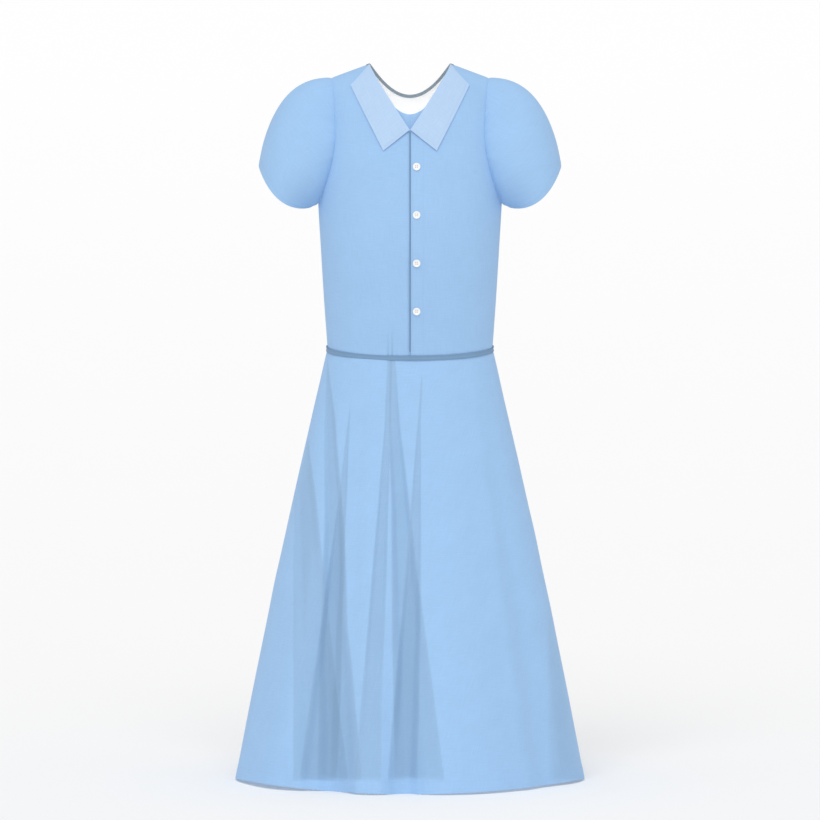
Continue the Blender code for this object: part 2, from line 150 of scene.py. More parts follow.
def shoulder_line(x):
    """Height of the shoulder ridge over a width, rounded where the two sides would meet."""
    neck_reach = math.hypot(NECK_HALF_WIDTH, RIDGE_ROUND)
    slope = SHOULDER_TIP[1] / (math.hypot(SHOULDER_TIP[0], RIDGE_ROUND) - neck_reach)
    return slope * (np.hypot(x, RIDGE_ROUND) - neck_reach)


def seam_rise(x, z):
    """The waist seam dips at the centre: it and the cloth beside it rise this far towards the sides."""
    near_seam = np.exp(-((z - WAIST_HEIGHT) / WAIST_DIP_REACH) ** 2)
    return WAIST_DIP * (x / TORSO["wide"][-1]) ** 2 * near_seam


def half_depth(x, z, side):
    """Distance of the bodice from its side plane, at the front or the back."""
    wide = np.abs(x) / curve_through(TORSO_HEIGHTS, TORSO["wide"], z)
    section = np.maximum(0.0, 1.0 - wide ** SECTION_POWER) ** (1 / SECTION_POWER)
    below = np.clip(shoulder_line(x) - z, 0.0, SHOULDER_ROLL)
    roll = (1.0 - (1.0 - below / SHOULDER_ROLL) ** ROLL_POWER) ** (1 / ROLL_POWER)
    return curve_through(TORSO_HEIGHTS, TORSO[side], z) * section * roll


def unit(vectors):
    return vectors / np.maximum(np.linalg.norm(vectors, axis=-1, keepdims=True), 1e-12)


def torso(x, z, side, out=0.0):
    """Points of the bodice over widths and heights, moved out along its normal."""
    x, z, out = np.broadcast_arrays(x, z, out)
    sign = -1.0 if side == "front" else 1.0
    step = 0.0004
    across = half_depth(x + step, z, side) - half_depth(x - step, z, side)
    up = half_depth(x, z + step, side) - half_depth(x, z - step, side)
    normal = unit(np.stack([-across, np.full(x.shape, sign * 2 * step), -up], axis=-1))
    points = np.stack([x, sign * half_depth(x, z, side), z + seam_rise(x, z)], axis=-1)
    return points + normal * out[..., None]


def panel_width(z):
    """From the centre to the armhole or the side seam."""
    armhole = curve_through(ARMHOLE_HEIGHTS, ARMHOLE_WIDTHS, z)
    return np.where(z > UNDERARM_HEIGHT, armhole, curve_through(TORSO_HEIGHTS, TORSO["wide"], z))


def neckline(x, width, drop):
    share = (x / width) ** 2
    return -drop * (1.0 - share) + shoulder_line(width) * share


def edge_heights():
    """Rows at the outer edge: over the shoulder roll, down the armhole and the side seam."""
    turns = np.radians(90.0 * np.linspace(0.0, 1.0, ROLL_ROWS + 1))
    roll = SHOULDER_TIP[1] - SHOULDER_ROLL * (1.0 - np.maximum(np.cos(turns), 0.0) ** (2 / ROLL_POWER))
    armhole = np.linspace(roll[-1], UNDERARM_HEIGHT, ARMHOLE_ROWS + 1)[1:]
    side = np.linspace(UNDERARM_HEIGHT, WAIST_HEIGHT + SEAM_TRIM / 2, SIDE_ROWS + 1)[1:]
    return np.concatenate([roll, armhole, side])


def half_panel(inner, neck, drop):
    """Widths and heights of a half bodice panel at +X; its rows run down from neck and shoulder."""
    tip = SHOULDER_TIP[0]
    to_neck = np.sin(np.pi / 2 * np.arange(NECK_COLUMNS) / NECK_COLUMNS)
    first = math.asin((neck / tip) ** (SECTION_POWER / 2))
    turns = np.linspace(first, np.pi / 2, SHOULDER_COLUMNS + 1)
    tops = np.concatenate([inner + (neck - inner) * to_neck, tip * np.sin(turns) ** (2 / SECTION_POWER)])
    top_heights = np.where(tops < neck, neckline(tops, neck, drop), shoulder_line(tops))
    heights = edge_heights()
    fall = ((heights - heights[0]) / (heights[-1] - heights[0]))[:, None]
    z = top_heights * (1.0 - fall) + heights[-1] * fall
    x = inner + (tops - inner) / (tip - inner) * (panel_width(z) - inner)
    return x, z


def arc_lengths(points, axis):
    """Length along the cloth from its first row or column."""
    steps = np.linalg.norm(np.diff(points, axis=axis), axis=-1)
    start = np.zeros_like(np.take(steps, [0], axis=axis))
    return np.concatenate([start, np.cumsum(steps, axis=axis)], axis=axis)


def outward(points):
    """Unit normals of a grid whose rows run down and whose columns run left to right, from outside."""
    return unit(np.cross(np.gradient(points, axis=0), np.gradient(points, axis=1)))


def from_edges(points, edges):
    """Distance along the cloth to the nearest of the named edges."""
    across, down = arc_lengths(points, 1), arc_lengths(points, 0)
    reach = {"left": across, "right": across[:, -1:] - across, "top": down, "bottom": down[-1:] - down}
    return np.minimum.reduce([reach[edge] for edge in edges])


def worn(points, seams, swell=1.0):
    """How far pressed cotton swells, slowly and faintly, and sinks where it is pulled into seams."""
    x, y, z = points[..., 0], points[..., 1], points[..., 2]
    waves = sum(np.sin(a * x + b * y + c * z + start) for a, b, c, start in SWELL_WAVES)
    near = from_edges(points, seams)
    pulled = SEAM_PULL * np.exp(-(near / SEAM_PULL_WIDTH) ** 2)
    return SWELL * swell * waves * soft_step(near / SWELL_EASE) - pulled


def read_off(at, reach, values):
    """Points or directions at places along a row of them, whose own places are given."""
    return np.stack([np.interp(at, reach, values[:, k]) for k in range(3)], axis=-1)


def line_down(points, place_x):
    """A line down a panel at one width, and the cloth's normals along it."""
    line = [read_off(place_x, row[:, 0], row) for row in points]
    above = [read_off(place_x, row[:, 0], normals) for row, normals in zip(points, outward(points))]
    return np.array(line), np.array(above)


def pulled_tucks(points, tucks):
    """Depth of small tucks that rise from the waist seam, each at a place, this tall and deep."""
    depth = np.zeros(points.shape[:2])
    for place_x, tall, deep in tucks:
        rise = soft_step(1.0 - (points[..., 2] - WAIST_HEIGHT) / tall)
        depth += deep * rise * np.exp(-((points[..., 0] - place_x) / TUCK_SPREAD) ** 2)
    return depth


def lay_cloth(name, points, finishes, wall=CLOTH, painted_fold_shade=None, ring=False):
    """A flat grid of cloth laid on the worn form, then given its wall inwards.

    A second finish is the lining, which the inner side takes.
    """
    rows, columns = points.shape[:2]
    bpy.ops.object.select_all(action="DESELECT")
    bpy.ops.mesh.primitive_grid_add(x_subdivisions=columns - 1, y_subdivisions=rows - 1, size=2)
    piece = bpy.context.object
    piece.name = piece.data.name = name
    mesh = piece.data
    for finish in finishes:
        mesh.materials.append(finish)
    flat = np.empty(len(mesh.vertices) * 3)
    mesh.vertices.foreach_get("co", flat)
    flat = flat.reshape(-1, 3)
    row = np.rint((1.0 - flat[:, 1]) / 2 * (rows - 1)).astype(int)
    column = np.rint((flat[:, 0] + 1.0) / 2 * (columns - 1)).astype(int)
    mesh.vertices.foreach_set("co", points[row, column].ravel())
    corners = np.empty(len(mesh.loops), dtype=int)
    mesh.loops.foreach_get("vertex_index", corners)
    across, down = arc_lengths(points, 1), arc_lengths(points, 0)
    cut = np.stack([across[row, column], down[-1, column] - down[row, column]], axis=-1)
    mesh.uv_layers[0].data.foreach_set("uv", cut[corners].ravel())
    # A painted shade for folds and tucks rides on the points, for the cloth's colour to read
    painted_shade = mesh.attributes.new("painted_fold_shade", "FLOAT", "POINT")
    if painted_fold_shade is not None:
        painted_shade.data.foreach_set("value", painted_fold_shade[row, column])
    if ring:
        bpy.ops.object.mode_set(mode="EDIT")
        bpy.ops.mesh.select_all(action="SELECT")
        bpy.ops.mesh.remove_doubles(threshold=0.000001)
        bpy.ops.object.mode_set(mode="OBJECT")
    thick = piece.modifiers.new("wall", "SOLIDIFY")
    thick.thickness = wall
    thick.offset = -1.0
    thick.use_even_offset = True
    thick.use_quality_normals = True
    thick.material_offset = len(finishes) - 1
    thick.material_offset_rim = 0
    bpy.ops.object.modifier_apply(modifier="wall")
    bpy.ops.object.shade_smooth_by_angle(angle=math.radians(50))
    return piece


def new_object(name, data):
    made = bpy.data.objects.new(name, data)
    bpy.context.scene.collection.objects.link(made)
    return made


def place(piece, slot, *nodes):
    """Sets a piece in the frame and hides the solids that it stands for. Its slot is not used."""
    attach(piece, "root")
    if nodes:
        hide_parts(*nodes)


class Shade:
    """A value in a finish. Sums and products of it are made as Math nodes."""

    def __init__(self, tree, socket=None):
        self.tree = tree
        self.socket = socket

    def node(self, kind, settings, sockets, out=0):
        made = self.tree.nodes.new(kind)
        for name, value in settings.items():
            setattr(made, name, value)
        for name, value in sockets.items():
            if isinstance(value, Shade):
                self.tree.links.new(value.socket, made.inputs[name])
            else:
                made.inputs[name].default_value = value
        return Shade(self.tree, made.outputs[out])

    def maths(self, operation, *values):
        return self.node("ShaderNodeMath", {"operation": operation}, dict(enumerate(values)))

    def __add__(self, other):
        return self.maths("ADD", self, other)

    def __radd__(self, other):
        return self.maths("ADD", other, self)

    def __sub__(self, other):
        return self.maths("SUBTRACT", self, other)

    def __rsub__(self, other):
        return self.maths("SUBTRACT", other, self)

    def __mul__(self, other):
        return self.maths("MULTIPLY", self, other)

    def __rmul__(self, other):
        return self.maths("MULTIPLY", other, self)

    def mixed(self, first, second):
        """A colour between two colours, by this value."""
        kind = {"data_type": "RGBA", "clamp_factor": True}
        return self.node("ShaderNodeMix", kind, {0: self, 6: first, 7: second}, out=2)


def colour(rgb, share=1.0):
    return (*(min(1.0, part * share) for part in rgb), 1.0)


def new_finish(name, roughness, sheen=0.0):
    """A material with its shader, and a value to start its pattern from."""
    finish = bpy.data.materials.new(name)
    finish.use_nodes = True
    shader = finish.node_tree.nodes["Principled BSDF"]
    shader.inputs["Roughness"].default_value = roughness
    shader.inputs["Sheen Weight"].default_value = sheen
    shader.inputs["Sheen Roughness"].default_value = 0.5
    shader.inputs["Specular IOR Level"].default_value = 0.25
    return finish, shader, Shade(finish.node_tree)


def woven(name, rgb, pitch=THREAD_PITCH, contrast=0.05, roughness=0.9, painted_shade_strength=0.0):
    """Plain weave: threads over and under, slubs, a faint unevenness of dye and painted fold shade."""
    finish, shader, start = new_finish(name, roughness, sheen=0.08)
    cut = start.node("ShaderNodeUVMap", {"uv_map": "UVMap"}, {})
    u = start.node("ShaderNodeSeparateXYZ", {}, {0: cut}, out=0)
    v = start.node("ShaderNodeSeparateXYZ", {}, {0: cut}, out=1)
    turn = math.pi / pitch
    over = start.maths("SINE", u * turn) * start.maths("SINE", v * turn)
    warp_parts = {0: u * (WARP_SLUBS[0] / pitch), 1: v * WARP_SLUBS[1]}
    weft_parts = {0: u * WEFT_SLUBS[1], 1: v * (WEFT_SLUBS[0] / pitch)}
    warp_place = start.node("ShaderNodeCombineXYZ", {}, warp_parts)
    weft_place = start.node("ShaderNodeCombineXYZ", {}, weft_parts)
    slub = {"noise_dimensions": "2D"}
    warp = start.node("ShaderNodeTexNoise", slub, {"Vector": warp_place, "Scale": 1.0, "Detail": 2.0})
    weft = start.node("ShaderNodeTexNoise", slub, {"Vector": weft_place, "Scale": 1.0, "Detail": 2.0})
    cloudy = start.node("ShaderNodeTexNoise", slub, {"Vector": cut, "Scale": 24.0, "Detail": 3.0})
    tone = over * THREAD_TONE + (warp - 0.5) * SLUB_TONE + (weft - 0.5) * SLUB_TONE
    tone = tone + (cloudy - 0.5) * CLOUD_TONE
    yarn = (tone + 0.5).mixed(colour(rgb, 1.0 - contrast), colour(rgb, 1.0 + contrast))
    # The points' painted shade for folds and tucks darkens the yarn's colour towards the fold tone here
    painted_fold_shade = start.node("ShaderNodeAttribute", {"attribute_name": "painted_fold_shade"}, {}, out="Fac")
    deep = [part * share for part, share in zip(rgb, PAINTED_FOLD_TONE)]
    yarn_and_painted_shade = (painted_fold_shade * painted_shade_strength).mixed(yarn, colour(deep))
    relief = over * 0.5 + warp * 0.5 + weft * 0.5
    bump = {"Strength": 0.35, "Distance": WEAVE_RELIEF, "Height": relief}
    start.tree.links.new(yarn_and_painted_shade.socket, shader.inputs["Base Color"])
    normal = start.node("ShaderNodeBump", {}, bump)
    start.tree.links.new(normal.socket, shader.inputs["Normal"])
    return finish


def stitch_row(name, path, normals, finish, slot):
    """A row of small raised machine stitches along a path on the cloth."""
    reach = arc_lengths(path[None], 1)[0]
    count = int((reach[-1] - STITCH_LENGTH) / STITCH_PITCH)
    centres = reach[-1] / 2 + STITCH_PITCH * (np.arange(count) - (count - 1) / 2)
    at = read_off(centres, reach, path)
    up = unit(read_off(centres, reach, normals))
    along = read_off(centres + STITCH_AHEAD, reach, path) - at
    along = unit(along - up * np.sum(along * up, axis=-1, keepdims=True))
    side = np.cross(up, along)
    bpy.ops.object.select_all(action="DESELECT")
    bpy.ops.mesh.primitive_uv_sphere_add(segments=6, ring_count=4, radius=0.5)
    stitch = bpy.context.object
    shape = np.array([v.co for v in stitch.data.vertices]) * (STITCH_WIDTH, STITCH_HEIGHT, STITCH_LENGTH)
    faces = np.array([list(f.vertices) + [-1] * (4 - len(f.vertices)) for f in stitch.data.polygons])
    bpy.data.objects.remove(stitch, do_unlink=True)
    turned = shape[None, :, 0:1] * side[:, None] + shape[None, :, 1:2] * up[:, None]
    points = at[:, None] + turned + shape[None, :, 2:3] * along[:, None]
    mesh = bpy.data.meshes.new(name)
    all_faces = [
        [int(i) + k * len(shape) for i in face if i >= 0] for k in range(count) for face in faces]
    mesh.from_pydata(points.reshape(-1, 3).tolist(), [], all_faces)
    mesh.shade_smooth()
    mesh.materials.append(finish)
    row = new_object(name, mesh)
    place(row, slot)
    return row


def cotton_thread(name, rgb):
    """Sewing thread: two plies twisted together, a little glossier than the cloth."""
    finish, shader, start = new_finish(name, 0.7)
    where = start.node("ShaderNodeTexCoord", {}, {}, out="Object")
    twist = start.node("ShaderNodeTexNoise", {}, {"Vector": where, "Scale": 2600.0, "Detail": 1.0})
    tone = twist.mixed(colour(rgb, 0.92), colour(rgb, 1.06))
    start.tree.links.new(tone.socket, shader.inputs["Base Color"])
    return finish


cotton = woven("cotton_blue", COTTON_BLUE, painted_shade_strength=FOLD_PAINTED_SHADE)
lining = woven("lining_white", LINING_WHITE, contrast=0.02)
blue_thread = cotton_thread("blue_thread", BLUE_THREAD)

x, z = half_panel(LAP_EDGE, NECK_HALF_WIDTH, FRONT_NECK_DROP)
left_points = torso(x, z, "front")
left_points[..., 1] = np.minimum(left_points[..., 1], 0.0)
left_edge = left_points[:, -1].copy()
out = worn(left_points, ("right", "top"))
left_points += outward(left_points) * out[..., None]
front_left = lay_cloth("front_left_cloth", left_points, (cotton, lining))
place(front_left, "cotton_blue", "bodice_front_left")

x, z = half_panel(STEP_START, NECK_HALF_WIDTH, FRONT_NECK_DROP)
under_x = np.linspace(-UNDERLAP, STEP_START, UNDERLAP_COLUMNS + 1)[:-1]
under_top = neckline(under_x, NECK_HALF_WIDTH, FRONT_NECK_DROP)
fall = ((z[:, -1] - z[0, -1]) / (z[-1, -1] - z[0, -1]))[:, None]
z = np.concatenate([under_top * (1.0 - fall) + z[-1, -1] * fall, z], axis=1)
x = np.concatenate([np.broadcast_to(under_x, (len(x), UNDERLAP_COLUMNS)), x], axis=1)
step_down = -UNDERLAP_DEPTH * soft_step((STEP_START - x) / (STEP_START - STEP_END))

right_points = torso(x, z, "front", step_down)
right_points[..., 1] = np.minimum(right_points[..., 1], 0.0)
right_points = right_points[:, ::-1] * MIRRORED

tucks = pulled_tucks(right_points, TUCKS)
out = worn(right_points, ("left", "top")) - tucks
right_points += outward(right_points) * out[..., None]
# The tucks' depth is painted into the cloth's colour as shade
front_right = lay_cloth("front_right_cloth", right_points, (cotton, lining), painted_fold_shade=tucks * TUCK_PAINTED_SHADE)
place(front_right, "cotton_blue", "bodice_front_right")

# Two rows of stitches hold the lapping edge and its facing, from under the neck to the waist
for name, place_x in (("lap_edge_stitches", LAP_STITCHES), ("lap_facing_stitches", FACING_STITCHES)):
    line, above = line_down(left_points[4:-1], place_x)
    stitch_row(name, line, above, blue_thread, "cotton_blue")


# Bodice back
#
# One piece of the same cotton and lining, cut on the fold, from the back neckline over the
# shoulder blades to the waist. It meets the fronts at the shoulder and side seams.

BACK_NECK_DROP = 0.0545
BINDING_WIDTH = 0.0050
BINDING_LAP = 0.0010
BACK_TUCKS = (
    (-0.0310, 0.050, 0.0010),
    (-0.0262, 0.032, 0.0008),
    (0.0425, 0.044, 0.0010),
    (0.0480, 0.026, 0.0006),
)

back_neck = NECK_HALF_WIDTH + BINDING_WIDTH - BINDING_LAP
x, z = half_panel(0.0, back_neck, BACK_NECK_DROP + BINDING_WIDTH - BINDING_LAP)
half = torso(x, z, "back")
half[..., 1] = np.maximum(half[..., 1], 0.0)
back_edge = half[:, -1].copy()
back_points = np.concatenate([half[:, ::-1], half[:, 1:] * MIRRORED], axis=1)
tucks = pulled_tucks(back_points, BACK_TUCKS)
out = worn(back_points, ("left", "right", "top")) - tucks
back_points += outward(back_points) * out[..., None]
# The tucks' depth is painted into the cloth's colour as shade
back = lay_cloth("back_cloth", back_points, (cotton, lining), painted_fold_shade=tucks * TUCK_PAINTED_SHADE)
place(back, "cotton_blue", "bodice_back")


# Neck binding
#
# A slate blue bias strip folded over the back neckline, a little proud of the cloth on both
# sides and stitched along its lower edge.

BINDING_CLOTH = 0.0024
BINDING_PROUD = 0.00045
BINDING_SWELL = 0.0003
BINDING_SLATE = (0.243, 0.300, 0.347)
BINDING_THREAD = (0.170, 0.215, 0.255)
BINDING_ROWS = 12
BINDING_COLUMNS = 90

binding_weave = woven("binding_slate", BINDING_SLATE, pitch=0.00034, contrast=0.07)
binding_thread = cotton_thread("binding_thread", BINDING_THREAD)
along = np.linspace(0.0, 1.0, BINDING_ROWS + 1)[:, None]
across = np.sin(np.pi / 2 * np.linspace(1.0, -1.0, BINDING_COLUMNS + 1))[None, :]
x = (NECK_HALF_WIDTH + BINDING_WIDTH * along) * across
z = neckline(x, NECK_HALF_WIDTH + BINDING_WIDTH * along, BACK_NECK_DROP + BINDING_WIDTH * along)
proud = BINDING_PROUD + BINDING_SWELL * np.sin(np.pi * along) ** 0.5
points = torso(x, z, "back", proud)
points[..., 1] = np.maximum(points[..., 1], 2 * SEAM_TRIM)
binding = lay_cloth("neck_binding_cloth", points, (binding_weave,), wall=BINDING_CLOTH)
place(binding, "binding_slate", "neck_binding")
binding_line = stitch_row(
    "neck_binding_stitches", points[-3], outward(points)[-3], binding_thread, "binding_slate")


# Sleeves
#
# Two short sleeves, each one piece eased full into the armhole, puffed over the top of the arm
# and drawn in a little at a narrow stitched hem. They stand open at both ends.

SLEEVE_OUTER = np.array((0.2265, 0.0, -0.1540))
SLEEVE_INNER = np.array((0.1475, 0.0, -0.2145))
SLEEVE_HEM_DEPTH = 0.0620
SLEEVE_HEM_BELLY = 0.0165
SLEEVE_HEM_LEAN = 0.20
SLEEVE_START_TOP = np.array((0.0650, 0.0, 0.0058))
SLEEVE_END_TOP = np.array((0.0070, 0.0, -0.0680))
SLEEVE_UNDER = np.array((0.0040, 0.0, -0.0023))
SLEEVE_PUFF = 0.0220
SLEEVE_PUFF_HIGH = 0.35
SLEEVE_CLOSE = 0.0100
SLEEVE_LIE = 0.0004
SLEEVE_ALLOWANCE = (0.0050, 0.0022)
SLEEVE_COLUMNS = 160
SLEEVE_ROWS = 56
CUFF = 0.0090
CUFF_STEP = 0.0004
CUFF_STEP_EDGE = 0.0012
CUFF_STITCHES = 0.00774

# Gathers: the turns at which they stand, how wide each is and how that varies, then the depth and
# reach of them at the sleeve's head and at its cuff
GATHERS = (0.35, 0.62, 0.86, 1.15, 1.38, 1.71, 4.55, 4.88, 5.21, 5.44, 5.77, 6.02)
GATHER_WIDE, GATHER_WIDE_VARIES = 0.055, 0.020
HEAD_DEPTH, HEAD_REACH, HEAD_REACH_VARIES = 0.0007, 0.0130, 0.0040
CUFF_DEPTH, CUFF_REACH = 0.0005, 0.0110


def armhole_ring(turns):
    """Points of the armhole seam at turns from the shoulder tip down the front and up the back."""
    last = ROLL_ROWS + ARMHOLE_ROWS + 1
    ends = {}
    for side, edge in (("front", left_edge[:last].copy()), ("back", back_edge[:last].copy())):
        edge[[0, -1], 1] = 0.0
        reach = arc_lengths(edge[None], 1)[0]
        turn = turns if side == "front" else 2 * np.pi - turns
        ends[side] = read_off(turn, np.pi * reach / reach[-1], edge)
    return np.where((turns <= np.pi)[:, None], ends["front"], ends["back"])


def sleeve_points():
    """Turns round the armhole, the way the cloth leaves it, and the points of the sleeve."""
    turns = np.linspace(2 * np.pi, 0.0, SLEEVE_COLUMNS + 1)
    cos, sin = np.cos(turns)[:, None], np.sin(turns)[:, None]
    top = (1.0 + cos) / 2
    leave = SLEEVE_UNDER * (1 - top) + SLEEVE_START_TOP * top
    leave[:, 1:2] -= SLEEVE_PUFF * sin * (1.0 + SLEEVE_PUFF_HIGH * cos)
    arrive = SLEEVE_UNDER * (1 - top) + SLEEVE_END_TOP * top
    arrive[:, 1:2] += SLEEVE_CLOSE * sin
    heading = unit(leave)
    first = armhole_ring(turns) + heading * SLEEVE_LIE
    reach = (SLEEVE_OUTER - SLEEVE_INNER) / 2
    sag = np.array((-reach[2], 0.0, reach[0])) / np.linalg.norm(reach) * -SLEEVE_HEM_BELLY
    hem = (SLEEVE_OUTER + SLEEVE_INNER) / 2 + reach * cos + sag * sin ** 2 * (1.0 - SLEEVE_HEM_LEAN * cos)
    hem[:, 1:2] -= SLEEVE_HEM_DEPTH * sin
    s = np.linspace(0.0, 1.0, SLEEVE_ROWS + 1)[:, None, None]
    r = 1.0 - s
    near, far = first + leave, hem - arrive
    return turns, heading, first * r ** 3 + near * 3 * r * r * s + far * 3 * r * s * s + hem * s ** 3


turns, heading, points = sleeve_points()
from_head, from_hem = from_edges(points, ("top",)), from_edges(points, ("bottom",))
gathers = np.zeros(points.shape[:2])
for number, centre in enumerate(GATHERS):
    wide = GATHER_WIDE + GATHER_WIDE_VARIES * math.sin(5.0 * number)
    reach = HEAD_REACH + HEAD_REACH_VARIES * math.cos(3.0 * number)
    pleat = np.exp(-(((turns - centre) / wide) ** 2))[None, :]
    head = np.exp(-(from_head / reach) ** 2)
    cuff = np.exp(-((from_hem - CUFF) / CUFF_REACH) ** 2) * (from_hem > CUFF)
    gathers += HEAD_DEPTH * pleat * head + CUFF_DEPTH * np.roll(pleat, number % 3, axis=1) * cuff
turn_up = CUFF_STEP * soft_step((CUFF - from_hem) / CUFF_STEP_EDGE)
out = worn(points, ("top",)) + gathers + turn_up
points = points + outward(points) * out[..., None]
tucked_in = [points[0] - heading * back_by for back_by in SLEEVE_ALLOWANCE]
points = np.concatenate([tucked_in, points])
points[:, -1] = points[:, 0]
row = len(tucked_in) + int(np.argmin(np.abs(from_hem[:, SLEEVE_COLUMNS // 4] - CUFF_STITCHES)))
for side in ("left", "right"):
    laid = points if side == "left" else points[:, ::-1] * MIRRORED
    sleeve = lay_cloth(f"sleeve_{side}_cloth", laid, (cotton,), ring=True)
    place(sleeve, "cotton_blue", f"sleeve_{side}")
    hem_line = stitch_row(
        f"sleeve_{side}_stitches", laid[row], outward(laid)[row], blue_thread, "cotton_blue")


# Collar
#
# Two flat leaves of a paler cotton, folded along the neckline and stitched round their free
# edges. Each runs from the neck point of the shoulder to the centre front.

COLLAR_LIE = 0.0009
COLLAR_ROLL = 0.0016
COLLAR_THICK = 0.0020
COLLAR_WALL = 0.0016
COLLAR_NECK = np.array((0.0600, -0.0015))
COLLAR_SHOULDER = np.array((0.0885, -0.0285))
COLLAR_POINT = np.array((0.0398, -0.1205))
COLLAR_FRONT = np.array((0.0006, -0.0900))
COLLAR_ROWS = 80
COLLAR_COLUMNS = 40
COLLAR_LONG = 0.104
COLLAR_WIDE = 0.044
COLLAR_EDGE = 0.0040
COLLAR_SEAM_DIP = 0.00035
COLLAR_SEAM_WIDTH = 0.0011
COLLAR_ROUND = 0.0005
COLLAR_ROUND_WIDTH = 0.0007
COLLAR_STITCH_SINK = 0.0003
COLLAR_BLUE = (0.466, 0.636, 0.862)
PALE_THREAD = (0.430, 0.600, 0.820)

collar_weave = woven("collar_pale_blue", COLLAR_BLUE)
pale_thread = cotton_thread("pale_thread", PALE_THREAD)


def collar_surface(down, out, above=0.0):
    """Points of the wearer's left leaf, from its fold at the neck (out 0) to its free edge (out 1)."""
    inner = COLLAR_NECK + (COLLAR_FRONT - COLLAR_NECK) * down[..., None]
    outer = COLLAR_SHOULDER + (COLLAR_POINT - COLLAR_SHOULDER) * down[..., None]
    flat = inner + (outer - inner) * out[..., None]
    lie = COLLAR_LIE + COLLAR_ROLL * (1.0 - out) ** 2 + COLLAR_THICK
    return torso(flat[..., 0], flat[..., 1], "front", lie + above)


down, out = np.meshgrid(
    np.linspace(0.0, 1.0, COLLAR_ROWS + 1), np.linspace(0.0, 1.0, COLLAR_COLUMNS + 1), indexing="ij")
leaf = collar_surface(down, out)
edge = from_edges(leaf, ("right", "top", "bottom"))
seam_dip = COLLAR_SEAM_DIP * np.exp(-((edge - COLLAR_EDGE) / COLLAR_SEAM_WIDTH) ** 2)
rounding = COLLAR_ROUND * np.exp(-edge / COLLAR_ROUND_WIDTH)
leaf -= outward(leaf) * (seam_dip + rounding)[..., None]

# The stitches run out along the shoulder end, down the free edge and back along the front end
short_edge, long_edge = 40, 98
first_down, far_out = COLLAR_EDGE / COLLAR_LONG, 1 - COLLAR_EDGE / COLLAR_WIDE
first_out, last_out = 0.02, 0.03
path_down = np.concatenate([
    np.full(short_edge, first_down),
    np.linspace(first_down, 1 - first_down, long_edge + 2)[1:-1],
    np.full(short_edge, 1 - first_down)])
path_out = np.concatenate([
    np.linspace(first_out, far_out, short_edge),
    np.full(long_edge, far_out),
    np.linspace(far_out, last_out, short_edge)])
seam_path = collar_surface(path_down, path_out, -COLLAR_STITCH_SINK)
seam_up = collar_surface(path_down, path_out, 0.001) - collar_surface(path_down, path_out)
for side, facing in (("left", (1.0, 1.0, 1.0)), ("right", MIRRORED)):
    laid = leaf if side == "left" else leaf[:, ::-1] * MIRRORED
    collar = lay_cloth(f"collar_{side}_cloth", laid, (collar_weave,), wall=COLLAR_WALL)
    place(collar, "collar_pale_blue", f"collar_{side}")
    collar_line = stitch_row(
        f"collar_{side}_stitches", seam_path * facing, seam_up * facing, pale_thread, "collar_pale_blue")


# Front edge piping
#
# A narrow slate cord covered in cotton, set in the edge of the lapping front from the collar to
# just above the waist band.

PIPING_TOP = -0.0925
PIPING_BOTTOM = -0.4235
PIPING_RADIUS = 0.0012
PIPING_PROUD = 0.0006
PIPING_COVER = 0.0003
TRIM_SLATE = (0.196, 0.331, 0.506)
PIPING_ROWS = 150
PIPING_SIDES = 14

trim_weave = woven("trim_slate", TRIM_SLATE, pitch=0.00030, contrast=0.07, roughness=0.8)
turn = np.linspace(0.0, 2 * np.pi, PIPING_SIDES + 1)[None, :]
height = np.linspace(PIPING_TOP, PIPING_BOTTOM, PIPING_ROWS + 1)[:, None]
points = torso(-PIPING_RADIUS * np.cos(turn), height, "front", PIPING_PROUD * np.sin(turn) - PIPING_COVER)
points[:, -1] = points[:, 0]
piping = lay_cloth("front_edge_piping_cloth", points, (trim_weave,), wall=PIPING_COVER, ring=True)
place(piping, "trim_slate", "front_edge_piping")


# Skirt
#
# A front and a back panel of the same cotton, cut flared, sewn at the sides and hung from the
# waist seam. The fullness falls in deep folds from the centre front to the wearer's right.

HEM_HEIGHT = -1.0794
WAIST_SECTION = (0.1238, 0.0930, 0.0850)
HEM_SECTION = (0.2615, 0.2090, 0.2020)
HIP_FULLNESS = 0.0045
SEAT_FULLNESS = 0.0100
HEM_POWER = 1.85
SKIRT_COLUMNS = 280
SKIRT_ROWS = 150
SKIRT_SWELL = 2.0

# The doubled hem: a small step at its top edge, and the stitches that pull it in
HEM_TURN_UP = 0.0200
HEM_STITCHES = 0.0185
HEM_STEP = 0.0005
HEM_STEP_EDGE = 0.0015
HEM_PULL = 0.0004
HEM_PULL_WIDTH = 0.0012

# The hem is evened out for an eye that looks down at this angle: how much of the way, how far
# down the skirt that starts, and the least and the added rise
CAMERA_RISE = math.radians(6.5)
HEM_EVEN = 0.88
HEM_RISE_START = 0.5
HEM_LEAST = -0.0005
HEM_RAISED = 0.0006

# The folds' painted shade ends above the hem on a line that falls towards the sides, sharply in front
HEM_LINE = 0.9655
HEM_LINE_FALL = 0.55
FRONT_FADE = 0.008
BACK_FADE = 0.060

# Columns stand closer where the folds are: shares of a panel, and degrees from its middle
FRONT_CROWD = ((0.0, 0.17, 0.71, 1.0), (-90.0, -50.0, 16.0, 90.0))
BACK_CROWD = ((0.0, 0.15, 0.85, 1.0), (-90.0, -58.0, 58.0, 90.0))

